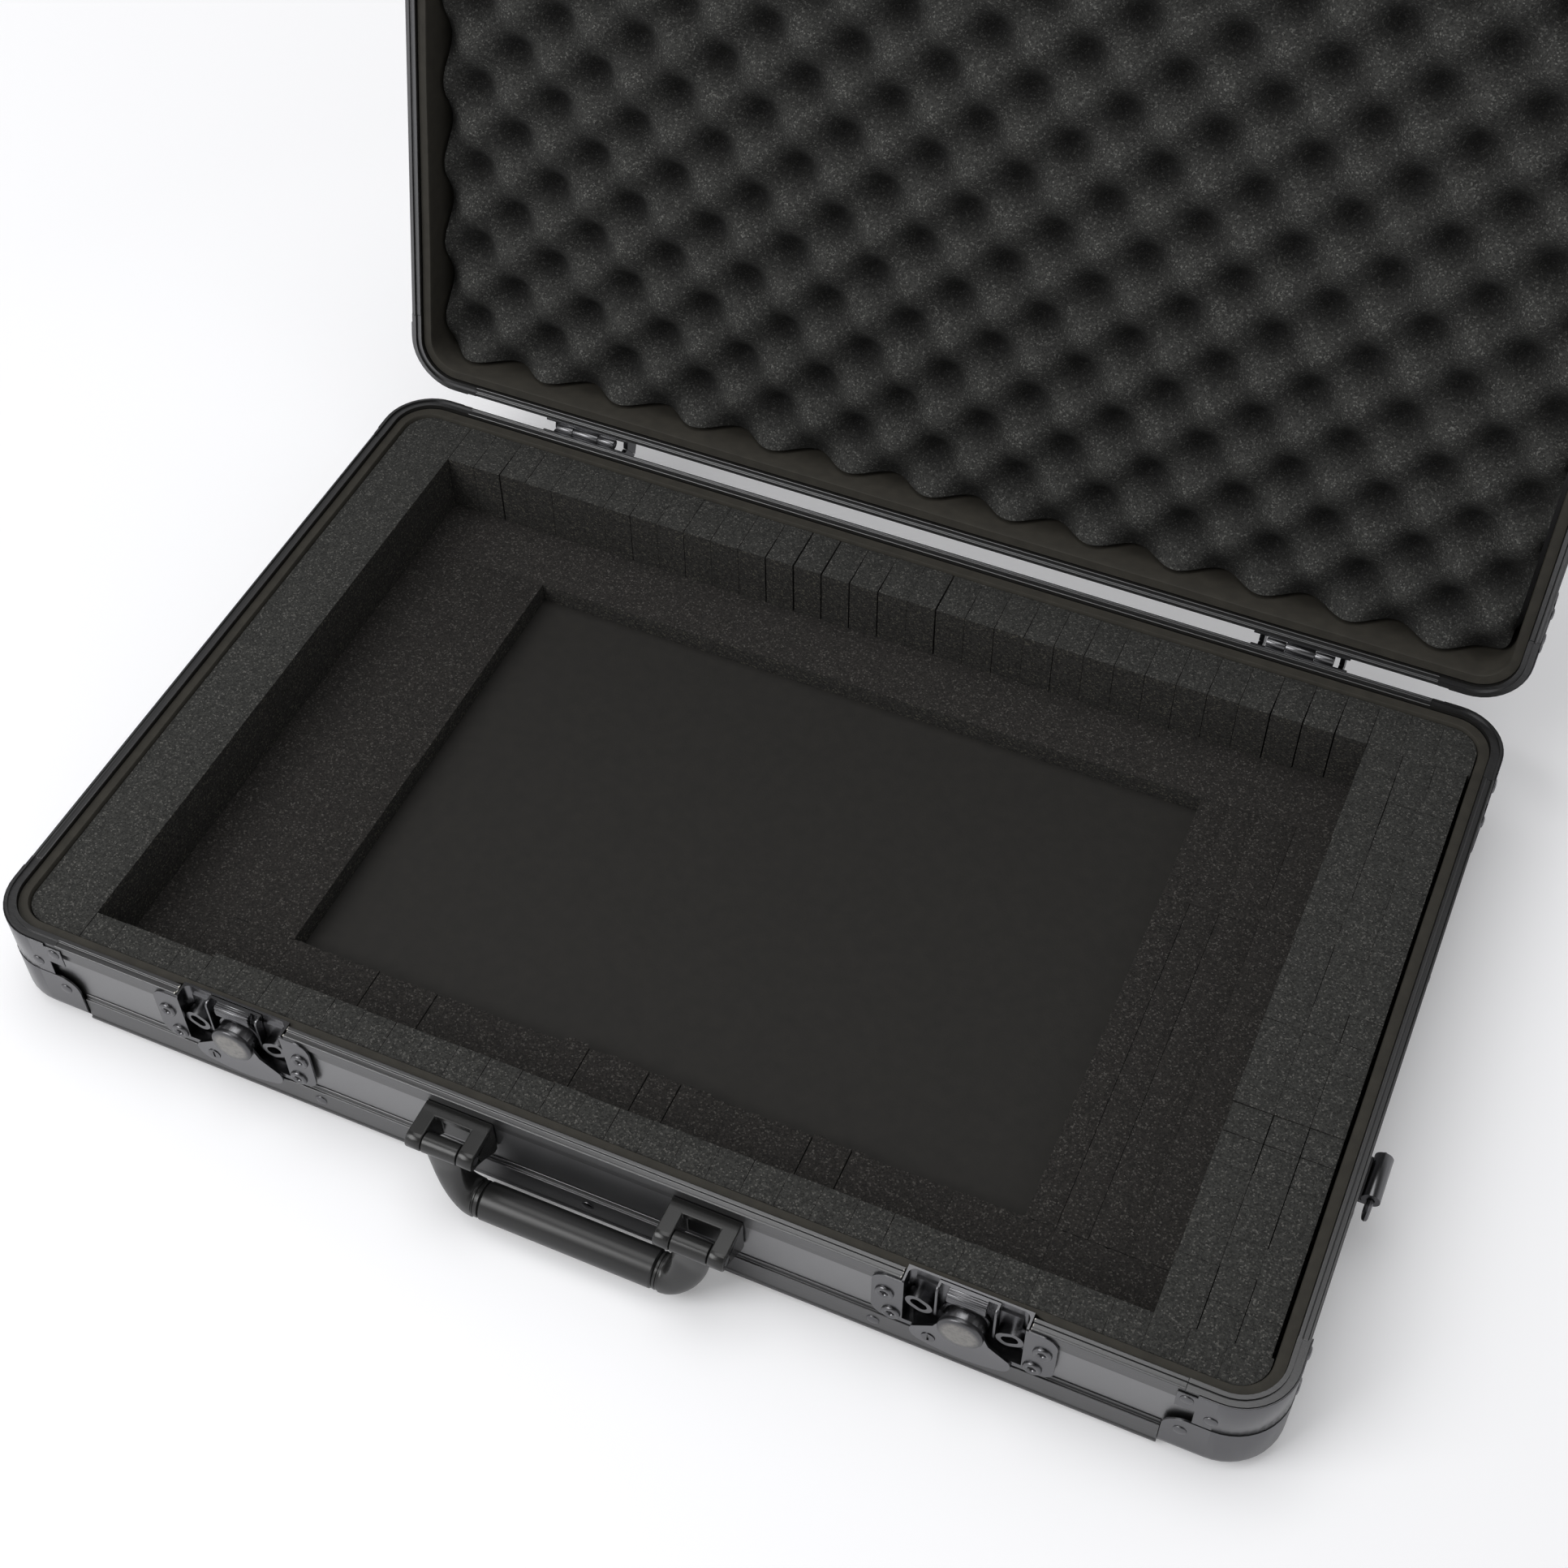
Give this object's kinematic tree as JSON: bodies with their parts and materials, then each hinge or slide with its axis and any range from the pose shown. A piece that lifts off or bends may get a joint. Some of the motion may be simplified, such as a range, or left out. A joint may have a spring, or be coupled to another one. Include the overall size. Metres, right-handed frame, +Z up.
{
  "type": "flight case",
  "caption": "Shallow rectangular flight case with a hinged lid, lever latches, drop handle, metal corners and foam lining cut for a flat computer.",
  "frame": {"origin": "centre of the base in plan, at the level of the feet", "axes": "+X along the front wall to the right, -Y out of the front wall with the handle, +Z up; the lid is open and leans back"},
  "size_m": [0.6414, 0.5608, 0.4535],
  "materials": {
    "board": "satin laminated board",
    "profile": "black anodised extrusion",
    "armour": "black satin pressed steel",
    "hardware": "black satin pressed steel",
    "lever": "black satin die casting",
    "lining": "closed cell foam strip",
    "foam": "open cell polyurethane foam",
    "grip": "moulded grip",
    "foot": "moulded rubber",
    "pin": "steel pin"
  },
  "bodies": {
    "base": {"base_front_panel": "board", "base_back_panel": "board", "base_left_panel": "board", "base_right_panel": "board", "base_rim_front": "profile", "base_rim_back": "profile", "base_rim_left": "profile", "base_rim_right": "profile", "base_floor_panel": "board", "base_corner_posts": "profile", "base_corner_plates": "armour", "base_corner_caps": "armour", "base_edge_rails": "profile", "base_wall_lining": "lining", "base_rivets": "armour", "rubber_feet": "foot", "base_floor_lining": "lining", "upper_foam": "foam", "lower_foam": "foam", "left_strap_holder": "hardware", "right_strap_holder": "hardware", "left_handle_bracket": "hardware", "right_handle_bracket": "hardware", "handle_pins": "pin", "hinge_base_leaves": "hardware", "hinge_pins": "pin", "left_latch_dish": "hardware", "right_latch_dish": "hardware", "left_latch_guides": "hardware", "right_latch_guides": "hardware"},
    "lid": {"lid_front_panel": "board", "lid_back_panel": "board", "lid_left_panel": "board", "lid_right_panel": "board", "lid_rim_front": "profile", "lid_rim_back": "profile", "lid_rim_left": "profile", "lid_rim_right": "profile", "lid_top_panel": "board", "lid_corner_posts": "profile", "lid_corner_plates": "armour", "lid_corner_caps": "armour", "lid_edge_rails": "profile", "lid_wall_lining": "lining", "lid_rivets": "armour", "lid_catches": "hardware", "egg_crate_foam": "foam", "hinge_lid_leaves": "hardware"},
    "handle": {"handle_frame": "hardware", "handle_grip": "grip"},
    "left_lever": {"left_latch_lever": "lever", "left_latch_lock": "pin"},
    "right_lever": {"right_latch_lever": "lever", "right_latch_lock": "pin"},
    "left_hook": {"left_latch_hook": "hardware"},
    "right_hook": {"right_latch_hook": "hardware"},
    "left_ring": {"left_strap_ring": "pin"},
    "right_ring": {"right_strap_ring": "pin"}
  },
  "joints": [
    {"name": "lid_hinge", "type": "hinge", "parent": "base", "child": "lid", "pos_m": [0, 0.204, 0.0583], "axis": [1, 0, 0], "range_deg": [0, 102.5]},
    {"name": "handle_pivot", "type": "hinge", "parent": "base", "child": "handle", "pos_m": [0, -0.216, 0.0452], "axis": [-1, 0, 0], "range_deg": [-8, 95]},
    {"name": "left_latch_turn", "type": "hinge", "parent": "base", "child": "left_lever", "pos_m": [-0.177, -0.2012, 0.038], "axis": [0, -1, 0], "range_deg": [0, 180]},
    {"name": "left_hook_slide", "type": "slide", "parent": "base", "child": "left_hook", "axis": [0, 0, 1], "range_m": [0, 0.007]},
    {"name": "right_latch_turn", "type": "hinge", "parent": "base", "child": "right_lever", "pos_m": [0.177, -0.2012, 0.038], "axis": [0, -1, 0], "range_deg": [0, 180]},
    {"name": "right_hook_slide", "type": "slide", "parent": "base", "child": "right_hook", "axis": [0, 0, 1], "range_m": [0, 0.007]},
    {"name": "left_ring_swing", "type": "hinge", "parent": "base", "child": "left_ring", "pos_m": [-0.3165, -0.065, 0.04], "axis": [0, 1, 0], "range_deg": [-3, 150]},
    {"name": "right_ring_swing", "type": "hinge", "parent": "base", "child": "right_ring", "pos_m": [0.3165, -0.065, 0.04], "axis": [0, -1, 0], "range_deg": [-3, 150]}
  ],
  "couplings": [
    {"joint": "left_hook_slide", "follows": "left_latch_turn", "m_per_rad": 0.0022282},
    {"joint": "right_hook_slide", "follows": "right_latch_turn", "m_per_rad": 0.0022282}
  ]
}
